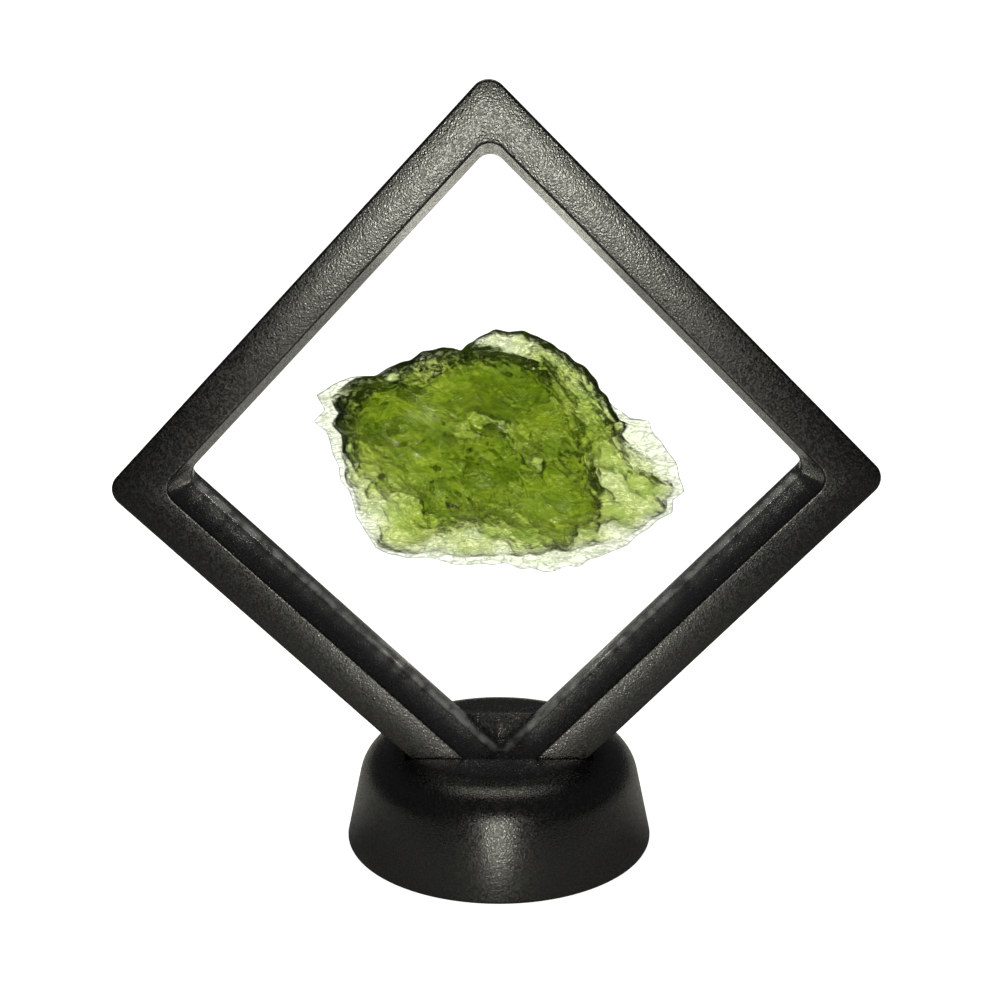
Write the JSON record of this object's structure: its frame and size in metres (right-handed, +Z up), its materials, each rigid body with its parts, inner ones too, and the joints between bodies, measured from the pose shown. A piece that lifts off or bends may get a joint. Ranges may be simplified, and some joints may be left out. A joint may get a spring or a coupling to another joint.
{
  "type": "moldavite in a standing display frame",
  "caption": "Green moldavite held between clear films in a square black frame that stands on its corner in a slotted round stand.",
  "frame": {"origin": "on the table, under the middle of the square frame", "axes": "+Z up, -Y towards the viewer, +X to the viewer's right"},
  "size_m": [0.1248, 0.0544, 0.129],
  "materials": {
    "moldavite_glass": "natural etched glass, olive green",
    "clear_film": "clear stretched film",
    "frame_plastic": "fine spark-eroded black",
    "stand_plastic": "fine spark-eroded black"
  },
  "bodies": {
    "root": {"moldavite": "moldavite_glass", "front_film": "clear_film", "back_film": "clear_film", "front_frame": "frame_plastic", "back_frame": "frame_plastic", "stand": "stand_plastic"}
  },
  "joints": []
}
